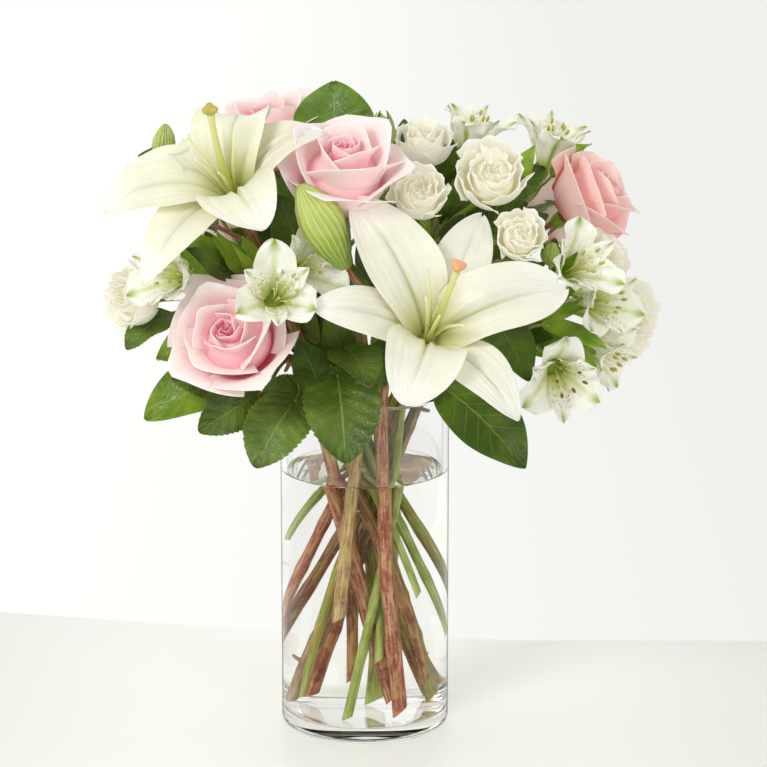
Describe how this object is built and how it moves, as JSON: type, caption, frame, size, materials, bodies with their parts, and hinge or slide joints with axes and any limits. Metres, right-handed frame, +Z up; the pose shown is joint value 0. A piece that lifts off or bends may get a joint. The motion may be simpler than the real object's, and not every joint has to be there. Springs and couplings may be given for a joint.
{
  "type": "flower bouquet in glass vase",
  "caption": "Round mixed bunch of lilies, roses, spray roses, alstroemeria and leaves, its stems standing in water in a clear straight-sided glass vase.",
  "frame": {"origin": "centre of the flat underside of the vase, which rests on the table", "axes": "+Z up along the vase's axis, -Y the front of the bunch as pictured, +X to the right seen from the front"},
  "size_m": [0.3256, 0.324, 0.3994],
  "materials": {
    "glass": "polished clear glass with a faint cool tint, thick at the foot",
    "water": "clear still water",
    "lily_petal": "waxy creamy white petal with a yellow-green throat and a channelled midrib",
    "pistil": "pale green style with an orange-brown lobed stigma and pale filaments",
    "rose_pink": "soft pale pink petals, deeper pink in the folds",
    "rose_salmon": "soft salmon pink petals",
    "spray_rose": "soft ivory petals",
    "alstroemeria_petal": "thin white petals with green tips and a yellow-green centre",
    "woody_stem": "olive to brown rose stem, leaves of the same stem dark green",
    "lily_stem": "smooth mid-green stem",
    "soft_stem": "thin smooth light green stem",
    "leaf": "glossy mid-green leaf with paler veins"
  },
  "bodies": {
    "root": {"vase": "glass", "lily_front_pistil": "pistil", "lily_front_petals": "lily_petal", "lily_left_pistil": "pistil", "lily_left_petals": "lily_petal", "lily_back_pistil": "pistil", "lily_back_petals": "lily_petal", "rose_front_left": "rose_pink", "rose_top_middle": "rose_pink", "rose_top_left": "rose_pink", "rose_right": "rose_salmon", "rose_back_left": "rose_pink", "rose_back_right": "rose_pink", "spray_rose_top_1": "spray_rose", "spray_rose_top_2": "spray_rose", "spray_rose_top_3": "spray_rose", "spray_rose_top_4": "spray_rose", "spray_rose_left_1": "spray_rose", "spray_rose_right_1": "spray_rose", "spray_rose_right_2": "spray_rose", "spray_rose_back_1": "spray_rose", "spray_rose_back_2": "spray_rose", "spray_rose_back_3": "spray_rose", "floret_left_1": "alstroemeria_petal", "floret_left_2": "alstroemeria_petal", "floret_left_3": "alstroemeria_petal", "floret_top_1": "alstroemeria_petal", "floret_top_2": "alstroemeria_petal", "floret_right_1": "alstroemeria_petal", "floret_right_2": "alstroemeria_petal", "floret_right_3": "alstroemeria_petal", "floret_right_4": "alstroemeria_petal", "floret_back_1": "alstroemeria_petal", "floret_back_2": "alstroemeria_petal", "stem_lily_front": "lily_stem", "stem_lily_left": "lily_stem", "stem_lily_back": "lily_stem", "stem_rose_front_left": "woody_stem", "stem_rose_top_middle": "woody_stem", "stem_rose_top_left": "woody_stem", "stem_rose_right": "woody_stem", "stem_rose_back_left": "woody_stem", "stem_rose_back_right": "woody_stem", "stem_spray_top": "woody_stem", "stem_spray_left": "woody_stem", "stem_spray_right": "woody_stem", "stem_spray_back": "woody_stem", "stem_alstro_left": "soft_stem", "stem_alstro_top": "soft_stem", "stem_alstro_right": "soft_stem", "stem_alstro_back": "soft_stem", "stem_greens_top": "leaf", "stem_greens_left": "leaf", "stem_greens_right": "leaf", "water": "water"}
  },
  "joints": []
}
